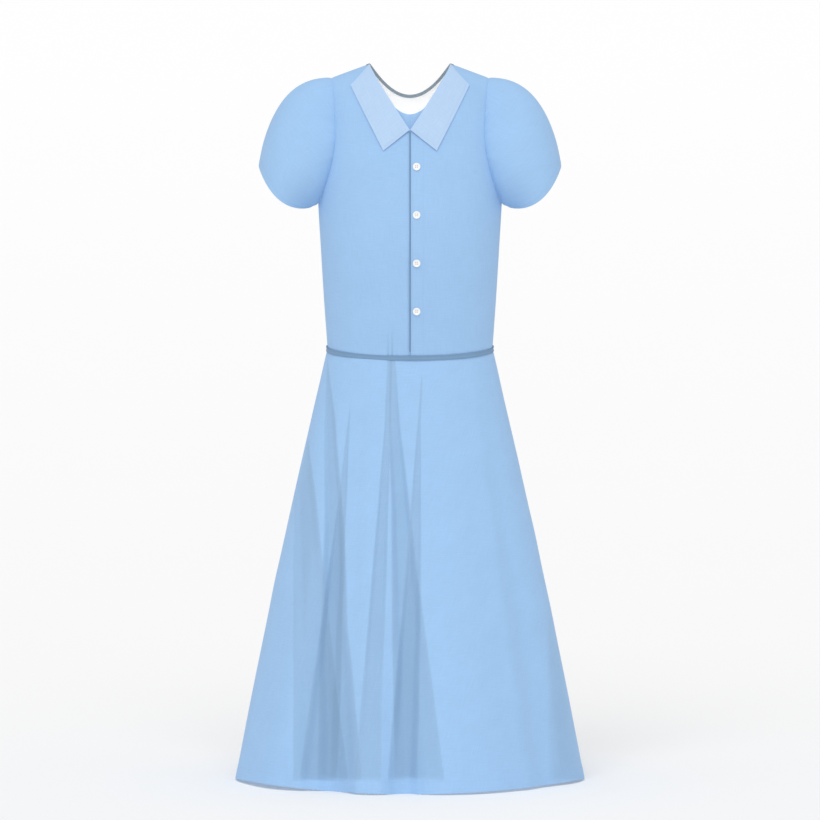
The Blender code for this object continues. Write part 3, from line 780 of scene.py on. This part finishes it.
# Broad folds: where each starts and ends in the front view, with its spread and depth at the hem.
# Where it starts it has a share of that spread.
FOLD_START_SPREAD = 0.3
FRONT_FOLDS = (
    (-0.1230, 0.04, -0.1240, 0.0480, -0.0165),
    (-0.0170, 0.03, -0.0080, 0.0440, -0.0140),
    (-0.1000, 0.10, -0.2020, 0.0500, 0.0100),
    (-0.0600, 0.08, -0.0640, 0.0420, 0.0120),
    (0.0400, 0.05, 0.0880, 0.0900, 0.0110),
    (0.1100, 0.10, 0.2150, 0.0440, -0.0120),
)
BACK_FOLDS = (
    (-0.1050, 0.06, -0.1900, 0.0480, -0.0120),
    (-0.0720, 0.05, -0.1150, 0.0440, 0.0100),
    (-0.0330, 0.03, -0.0480, 0.0440, -0.0160),
    (0.0030, 0.08, 0.0150, 0.0400, 0.0120),
    (0.0450, 0.04, 0.0790, 0.0480, -0.0180),
    (0.0800, 0.07, 0.1420, 0.0440, 0.0100),
    (0.1080, 0.09, 0.2050, 0.0440, -0.0110),
)

# A crease has its full depth where it is this wide, and its sides slope over a share of its width.
# The waist seam and the doubled hem leave it a share of its depth. Where creases lie over each
# other the painted shade in the cloth's colour deepens.
CREASE_FULL_WIDTH = 0.0340
CREASE_SLOPE = 0.30
CREASE_LEAST_SLOPE = 0.0030
CREASE_LEAST_SHADED = 0.0026
CREASE_AT_WAIST = 0.25
CREASE_FREE_DROP = 0.14
CREASE_AT_HEM = 0.55
SIDE_SEAM_EASE = 0.42
SETTLING_ROUNDS = 4
SHADED_LAYERS = 3
SHADE_POWER = 0.7

# Creased folds inside the broad ones: the depth, how softly their painted shade starts, then the
# left and the right edge. An edge is a row of shares of the drop, with its place across in the front view.
CRISP = 0.0015
EASED = 0.0060
SOFT = 0.0180
FRONT_CREASES = (
    (0.0050, CRISP,
     ((0.18, -0.1545), (0.32, -0.175), (0.96, -0.1755)),
     ((0.18, -0.1545), (0.28, -0.144), (0.39, -0.1365), (0.51, -0.1275), (0.74, -0.111), (0.96, -0.0935))),
    (0.0052, CRISP,
     ((0.0, -0.1245), (0.16, -0.129), (0.39, -0.129), (0.55, -0.1335), (0.96, -0.1395)),
     ((0.0, -0.1245), (0.16, -0.111), (0.39, -0.0975), (0.62, -0.093), (0.74, -0.084), (0.96, -0.072))),
    (0.0052, CRISP,
     ((0.10, -0.0902), (0.13, -0.0927), (0.29, -0.105), (0.96, -0.165)),
     ((0.10, -0.0902), (0.13, -0.0897), (0.28, -0.0935), (0.62, -0.1005), (0.80, -0.103), (0.96, -0.11))),
    (0.0050, CRISP,
     ((0.0, -0.0345), (0.16, -0.039), (0.28, -0.0455), (0.96, -0.0835)),
     ((0.0, -0.0255), (0.16, -0.028), (0.32, -0.0312), (0.51, -0.0345), (0.74, -0.0405), (0.96, -0.0435))),
    (0.0052, CRISP,
     ((0.0, -0.0315), (0.16, -0.0325), (0.32, -0.029), (0.60, -0.0275), (0.96, -0.0235)),
     ((0.0, -0.0215), (0.16, -0.014), (0.30, -0.003), (0.51, 0.0135), (0.74, 0.0335), (0.96, 0.0515))),
    (0.0050, CRISP,
     ((0.03, 0.0182), (0.05, 0.0161), (0.28, 0.0042), (0.51, -0.0088), (0.74, -0.0218), (0.96, -0.0338)),
     ((0.03, 0.0182), (0.05, 0.0191), (0.16, 0.0167), (0.56, 0.0172), (0.80, 0.0143), (0.96, 0.0122))),
    (0.0035, SOFT,
     ((0.56, 0.206), (0.96, 0.206)),
     ((0.56, 0.206), (0.96, 0.300))),
)
BACK_CREASES = (
    (0.0055, EASED,
     ((0.05, -0.030), (0.40, -0.056), (0.96, -0.083)),
     ((0.05, -0.030), (0.50, -0.030), (0.96, -0.033))),
    (0.0050, EASED,
     ((0.12, -0.042), (0.96, -0.062)),
     ((0.12, -0.042), (0.50, -0.026), (0.96, -0.008))),
    (0.0060, EASED,
     ((0.03, 0.044), (0.45, 0.045), (0.96, 0.040)),
     ((0.03, 0.044), (0.45, 0.076), (0.96, 0.108))),
    (0.0050, EASED,
     ((0.16, 0.060), (0.96, 0.070)),
     ((0.16, 0.060), (0.50, 0.086), (0.96, 0.123))),
    (0.0045, EASED,
     ((0.10, -0.108), (0.96, -0.212)),
     ((0.10, -0.108), (0.50, -0.133), (0.96, -0.168))),
    (0.0045, EASED,
     ((0.14, 0.112), (0.96, 0.183)),
     ((0.14, 0.112), (0.50, 0.156), (0.96, 0.223))),
)


def skirt_section(drop):
    """Half width, front depth, back depth and roundness of the skirt at a share of its drop."""
    full = 4.0 * drop * (1.0 - drop)
    wide, front, back = (a + (b - a) * drop for a, b in zip(WAIST_SECTION, HEM_SECTION))
    power = SECTION_POWER + (HEM_POWER - SECTION_POWER) * drop
    return wide + HIP_FULLNESS * full, front + HIP_FULLNESS * full, back + SEAT_FULLNESS * full, power


def broad_folds(x, drop, folds):
    """How far the broad folds bring the cloth out, or take it in where their depth is negative."""
    moved = np.zeros_like(x)
    for apex_x, apex_drop, hem_x, spread, depth in folds:
        grown = np.maximum((drop - apex_drop) / (1.0 - apex_drop), 0.0)
        reach = spread * (FOLD_START_SPREAD + (1.0 - FOLD_START_SPREAD) * grown)
        away = np.abs(x - apex_x - (hem_x - apex_x) * grown) / reach
        moved += depth * grown * (1.0 + np.cos(np.pi * np.minimum(away, 1.0))) / 2
    return moved


def creased_folds(x, drop, creases, fade, beside_seam):
    """Depth of the creased folds, and their painted shade: how many lie over each other.

    The waist seam holds them in, they ease out towards the side seams, and the doubled hem flattens
    them. Their painted shade fades out above it.
    """
    depth, painted_shade = np.zeros_like(x), np.zeros_like(x)
    for deep, soft, left, right in creases:
        left_x = np.interp(drop, *zip(*left))
        right_x = np.interp(drop, *zip(*right))
        wide = right_x - left_x
        inside = np.minimum(x - left_x, right_x - x)
        slope = np.maximum(CREASE_SLOPE * wide, CREASE_LEAST_SLOPE)
        depth -= deep * np.clip(wide / CREASE_FULL_WIDTH, 0.0, 1.0) * soft_step(inside / slope)
        painted_shade += np.clip(inside / soft, 0.0, 1.0) * soft_step(wide / CREASE_LEAST_SHADED)
    flat = soft_step((drop - HEM_LINE - HEM_LINE_FALL * x ** 2) / fade + 0.5)
    held = CREASE_AT_WAIST + (1.0 - CREASE_AT_WAIST) * soft_step(drop / CREASE_FREE_DROP)
    held = held * (1.0 - (1.0 - CREASE_AT_HEM) * flat)
    return depth * held * beside_seam, painted_shade * beside_seam * (1.0 - flat)


def hem_rise(points, drop, wide, deep):
    """How far the cloth rises towards the hem, so that the hem hangs as one even curve in front."""
    slope = math.tan(CAMERA_RISE)
    even = deep * slope * (points[..., 0] / wide) ** 2
    rise = HEM_RAISED + HEM_EVEN * (even - slope * (deep - np.abs(points[..., 1])))
    return np.maximum(rise, HEM_LEAST) * soft_step((drop - HEM_RISE_START) / (1.0 - HEM_RISE_START))


def skirt_points(turns, drop, folds, creases, fade=1.0, out=0.0):
    """Points of the skirt. A turn is 0 at the centre front and 90 degrees at the +X seam.

    A crease lies where it is seen from the front after the cloth has moved, so its place and its
    depth settle together in a few rounds.
    """
    wide, front, back, power = skirt_section(drop)
    facing, side = np.cos(turns), np.sin(turns)
    deep = np.where(facing > 0.0, front, back)
    x = np.sign(side) * wide * np.abs(side) ** (2 / power)
    y = -np.sign(facing) * deep * np.abs(facing) ** (2 / power)
    normal = unit(np.stack([side / wide, -facing / deep], axis=-1))
    broad = broad_folds(x, drop, folds)
    beside_seam = soft_step(np.abs(facing) / SIDE_SEAM_EASE)
    depth = 0.0
    for _ in range(SETTLING_ROUNDS):
        seen_x = x + normal[..., 0] * (broad + depth)
        depth, painted_shade = creased_folds(seen_x, drop, creases, fade, beside_seam)
    moved = broad + depth + out
    height = WAIST_HEIGHT + (HEM_HEIGHT - WAIST_HEIGHT) * drop
    points = np.stack([x, y, height + seam_rise(x, height)], axis=-1)
    points[..., :2] += normal * moved[..., None]
    points[..., 2] += hem_rise(points, drop, wide, deep)
    return points, painted_shade


drop = np.linspace(0.0, 1.0, SKIRT_ROWS + 1)[:, None]
spread = np.linspace(0.0, 1.0, SKIRT_COLUMNS + 1)[None, :]
for node, middle, crowd, folds, creases, fade in (
        ("skirt_front", 0.0, FRONT_CROWD, FRONT_FOLDS, FRONT_CREASES, FRONT_FADE),
        ("skirt_back", np.pi, BACK_CROWD, BACK_FOLDS, BACK_CREASES, BACK_FADE)):
    turns = middle + np.radians(np.interp(spread, *crowd))
    points, painted_shade = skirt_points(turns, drop, folds, creases, fade)
    from_hem = from_edges(points, ("bottom",))
    hem_step = HEM_STEP * soft_step((HEM_TURN_UP - from_hem) / HEM_STEP_EDGE)
    hem_pull = HEM_PULL * np.exp(-((from_hem - HEM_STITCHES) / HEM_PULL_WIDTH) ** 2)
    out = worn(points, ("left", "right"), SKIRT_SWELL) + hem_step - hem_pull
    points += outward(points) * out[..., None]
    points[0, :, 2] -= SEAM_TRIM / 2
    meet = np.minimum if middle == 0.0 else np.maximum
    points[..., 1] = meet(points[..., 1], 0.0)
    # The layers of creases lying over each other are painted into the skirt's colour as shade
    skirt = lay_cloth(f"{node}_cloth", points, (cotton,), painted_fold_shade=(painted_shade / SHADED_LAYERS) ** SHADE_POWER)
    place(skirt, "cotton_blue", node)
    row = int(np.argmin(np.abs(from_hem[:, SKIRT_COLUMNS // 2] - HEM_STITCHES)))
    hem_line = stitch_row(
        f"{node}_hem_stitches", points[row], outward(points)[row], blue_thread, "cotton_blue")


# Waist band
#
# A narrow slate ribbon of cotton laid over the waist seam all round and edge stitched top and
# bottom. It follows the bodice above the seam and the skirt below it.

BAND_HEIGHT = 0.0070
BAND_OUT = 0.0014
BAND_WALL = 0.0010
BAND_ROUNDING = 0.0003
BAND_RIPPLE = 0.00004
BAND_COLUMNS = 360
BAND_ROWS = 12
SLATE_THREAD = (0.165, 0.275, 0.420)

slate_thread = cotton_thread("slate_thread", SLATE_THREAD)
level = np.linspace(1.0, -1.0, BAND_ROWS + 1)[:, None]
turns = np.pi * np.linspace(-1.0, 1.0, BAND_COLUMNS + 1)[None, :]
share = np.maximum(-level, 0.0) * BAND_HEIGHT / 2 / (WAIST_HEIGHT - HEM_HEIGHT)
points, _ = skirt_points(turns, share, (), (), out=BAND_OUT)
above = np.maximum(level, 0.0) * BAND_HEIGHT / 2
grow = curve_through(TORSO_HEIGHTS, TORSO["front"], WAIST_HEIGHT + above) / WAIST_SECTION[1]
points[..., :2] *= grow[..., None]
points[..., 2] += above
out = BAND_RIPPLE * np.sin(97 * turns) - BAND_ROUNDING * np.abs(level) ** 6
points += outward(points) * out[..., None]
points[:, -1] = points[:, 0]
band = lay_cloth("waist_band_cloth", points, (trim_weave,), wall=BAND_WALL, ring=True)
place(band, "trim_slate", "waist_band")
band_lines = [
    stitch_row(f"waist_band_stitches_{k}", points[k], outward(points)[k], slate_thread, "trim_slate")
    for k in (2, BAND_ROWS - 2)]


# Buttons
#
# Four white buttons of moulded plastic, turned with a raised rim and a shallow dish, each sewn
# on through four holes with white thread. They close the lapping front.

BUTTON_X = 0.0099
BUTTON_HEIGHTS = (-0.1435, -0.2150, -0.2877, -0.3614)
BUTTON_RADIUS = 0.00575
BUTTON_THICK = 0.0022
BUTTON_DISH = 0.0040
BUTTON_SINK = 0.0008
BUTTON_SLOPE = 0.0007
BUTTON_BEVEL = 0.00045
BUTTON_HOLE = 0.00062
BUTTON_HOLE_OFFSET = 0.00125
BUTTON_GAP = 0.0003
BUTTON_WHITE = (0.925, 0.930, 0.930)
WHITE_THREAD = (0.80, 0.79, 0.76)
BAR_RADIUS = 0.00042
BAR_LIFT = 0.00025
BAR_BEND = 0.00075


def button_plastic():
    finish, shader, start = new_finish("button_white", 0.28)
    where = start.node("ShaderNodeTexCoord", {}, {}, out="Object")
    cloudy = start.node("ShaderNodeTexNoise", {}, {"Vector": where, "Scale": 420.0, "Detail": 3.0})
    tone = cloudy.mixed(colour(BUTTON_WHITE, 0.96), colour(BUTTON_WHITE, 1.03))
    start.tree.links.new(tone.socket, shader.inputs["Base Color"])
    wear = cloudy * 0.16 + 0.20
    start.tree.links.new(wear.socket, shader.inputs["Roughness"])
    shader.inputs["Specular IOR Level"].default_value = 0.5
    return finish


def one_button():
    """A button lying flat: rim bevelled, face dished, four holes cut through."""
    bpy.ops.object.select_all(action="DESELECT")
    bpy.ops.mesh.primitive_cylinder_add(
        vertices=48, radius=BUTTON_RADIUS, depth=BUTTON_THICK, location=(0.0, 0.0, BUTTON_THICK / 2))
    disc = bpy.context.object
    bpy.ops.object.transform_apply(location=True, rotation=True, scale=True)
    bpy.ops.object.mode_set(mode="EDIT")
    bpy.ops.mesh.select_mode(type="FACE")
    bpy.ops.mesh.select_all(action="DESELECT")
    bpy.ops.object.mode_set(mode="OBJECT")
    for face in disc.data.polygons:
        face.select = face.normal.z > 0.9
    bpy.ops.object.mode_set(mode="EDIT")
    bpy.ops.mesh.inset(thickness=BUTTON_RADIUS - BUTTON_DISH, depth=0.0)
    bpy.ops.mesh.inset(thickness=BUTTON_SLOPE, depth=-BUTTON_SINK)
    bpy.ops.object.mode_set(mode="OBJECT")
    rim = disc.modifiers.new("rim", "BEVEL")
    rim.width = BUTTON_BEVEL
    rim.segments = 3
    rim.limit_method = "ANGLE"
    rim.angle_limit = math.radians(28)
    bpy.ops.object.modifier_apply(modifier="rim")
    for across in (-1, 1):
        for up in (-1, 1):
            bpy.ops.object.select_all(action="DESELECT")
            bpy.ops.mesh.primitive_cylinder_add(
                vertices=16, radius=BUTTON_HOLE, depth=4 * BUTTON_THICK,
                location=(across * BUTTON_HOLE_OFFSET, up * BUTTON_HOLE_OFFSET, 0.0))
            post = bpy.context.object
            bpy.ops.object.select_all(action="DESELECT")
            bpy.context.view_layer.objects.active = disc
            disc.select_set(True)
            hole = disc.modifiers.new("hole", "BOOLEAN")
            hole.operation = "DIFFERENCE"
            hole.object = post
            bpy.ops.object.modifier_apply(modifier="hole")
            bpy.data.objects.remove(post, do_unlink=True)
    bpy.ops.object.shade_smooth_by_angle(angle=math.radians(35))
    return disc


def one_bar():
    """A bar of sewing thread between two holes, bent over the web between them."""
    bpy.ops.object.select_all(action="DESELECT")
    bpy.ops.mesh.primitive_cylinder_add(vertices=10, radius=BAR_RADIUS, depth=2 * BUTTON_HOLE_OFFSET)
    bar = bpy.context.object
    bpy.ops.object.mode_set(mode="EDIT")
    bpy.ops.mesh.select_all(action="SELECT")
    bpy.ops.transform.rotate(value=math.radians(90), orient_axis="X", center_override=(0.0, 0.0, 0.0))
    bpy.ops.mesh.subdivide(number_cuts=6)
    bpy.ops.object.mode_set(mode="OBJECT")
    top = BUTTON_THICK - BUTTON_SINK + BAR_LIFT
    for vertex in bar.data.vertices:
        vertex.co.z += top - BAR_BEND * (vertex.co.y / BUTTON_HOLE_OFFSET) ** 6
    bpy.ops.object.shade_smooth_by_angle(angle=math.radians(60))
    return bar


plastic = button_plastic()
white_thread = cotton_thread("white_thread", WHITE_THREAD)
button = one_button()
bars = one_bar()
for number, height in enumerate(BUTTON_HEIGHTS, start=1):
    face, seat = (Vector(torso(BUTTON_X, height, "front", lift)) for lift in (0.0, BUTTON_GAP))
    turned = (seat - face).to_track_quat("Z", "Y").to_matrix().to_4x4()
    turned.translation = seat
    disc = new_object(f"button_{number}_disc", button.data.copy())
    disc.data.transform(turned)
    disc.data.materials.append(plastic)
    place(disc, "button_white", f"button_{number}")
    for letter, side in (("a", -1), ("b", 1)):
        bar = new_object(f"button_{number}_thread_{letter}", bars.data.copy())
        for vertex in bar.data.vertices:
            vertex.co.x += side * BUTTON_HOLE_OFFSET
        bar.data.transform(turned)
        bar.data.materials.append(white_thread)
        place(bar, "button_white")
bpy.data.objects.remove(button, do_unlink=True)
bpy.data.objects.remove(bars, do_unlink=True)


# Studio
#
# A plain pale floor just under the hem, even light from all round and one broad soft lamp from
# above the front. The camera is parallel and looks slightly down.

FLOOR_SIZE = 34.0
FLOOR_GAP = 0.0008
FLOOR_GREY = (0.92, 0.92, 0.92)
FLOOR_WHITE = (0.99, 0.99, 0.99)
FLOOR_GLOW = 0.045
LIGHT_ALL_ROUND = 0.70
KEY_STRENGTH = 1.13
KEY_SPREAD = math.radians(40.0)
KEY_HEADING = Vector((0.06, 0.64, -0.72))
PICTURE = 1.230
MIDDLE = Vector((0.0, 0.0, -0.52236))
CAMERA_AWAY = 6.0

# Two small lamps inside the dress, with power, tint, size and place: one keeps the lining white
# at the neck, and a warm one lightens the floor under the hem
LAMPS_INSIDE = {
    "neck_lamp": (0.245, (1.0, 1.0, 1.0), 0.05, (0.0, -0.025, -0.165)),
    "skirt_lamp": (0.80, (1.0, 0.90, 0.74), 0.12, (0.0, 0.0, -0.900)),
}

bpy.ops.object.select_all(action="DESELECT")
bpy.ops.mesh.primitive_plane_add(size=FLOOR_SIZE, location=(0.0, 0.0, HEM_HEIGHT - FLOOR_GAP))
floor = bpy.context.object
floor.name = "studio_floor"
bpy.ops.object.transform_apply(location=True, rotation=True, scale=True)
paint, shader, start = new_finish("floor_paint", 0.95)
where = start.node("ShaderNodeTexCoord", {}, {}, out="Object")
away = start.node("ShaderNodeSeparateXYZ", {}, {0: where}, out=1)
cloudy = start.node("ShaderNodeTexNoise", {}, {"Vector": where, "Scale": 3.0, "Detail": 2.0})
# A painted shade: the floor's colour is greyer towards the front and paler further back, with faint random
# clouds
tone = (away * 0.1 + cloudy * 0.1).mixed(colour(FLOOR_GREY), colour(FLOOR_WHITE))
start.tree.links.new(tone.socket, shader.inputs["Base Color"])
shader.inputs["Emission Color"].default_value = (1.0, 1.0, 1.0, 1.0)
shader.inputs["Emission Strength"].default_value = FLOOR_GLOW
floor.data.materials.append(paint)

world = bpy.data.worlds.new("studio_light")
world.use_nodes = True
world.node_tree.nodes["Background"].inputs["Color"].default_value = (1.0, 1.0, 1.0, 1.0)
world.node_tree.nodes["Background"].inputs["Strength"].default_value = LIGHT_ALL_ROUND
bpy.context.scene.world = world
lamp = bpy.data.lights.new("key_lamp", "SUN")
lamp.energy = KEY_STRENGTH
lamp.angle = KEY_SPREAD
key = new_object("key_lamp", lamp)
key.rotation_euler = KEY_HEADING.to_track_quat("-Z", "Y").to_euler()
for name, (power, tint, size, stand) in LAMPS_INSIDE.items():
    lamp = bpy.data.lights.new(name, "POINT")
    lamp.energy = power
    lamp.color = tint
    lamp.shadow_soft_size = size
    inside = new_object(name, lamp)
    inside.location = stand
    inside.visible_camera = False

eye = bpy.data.cameras.new("camera")
eye.type = "ORTHO"
eye.ortho_scale = PICTURE
eye.clip_end = 100.0
camera = new_object("camera", eye)
camera.location = MIDDLE + CAMERA_AWAY * Vector((0.0, -math.cos(CAMERA_RISE), math.sin(CAMERA_RISE)))
camera.rotation_euler = (math.radians(90.0) - CAMERA_RISE, 0.0, 0.0)
bpy.context.scene.camera = camera
bpy.context.scene.view_settings.view_transform = "Standard"
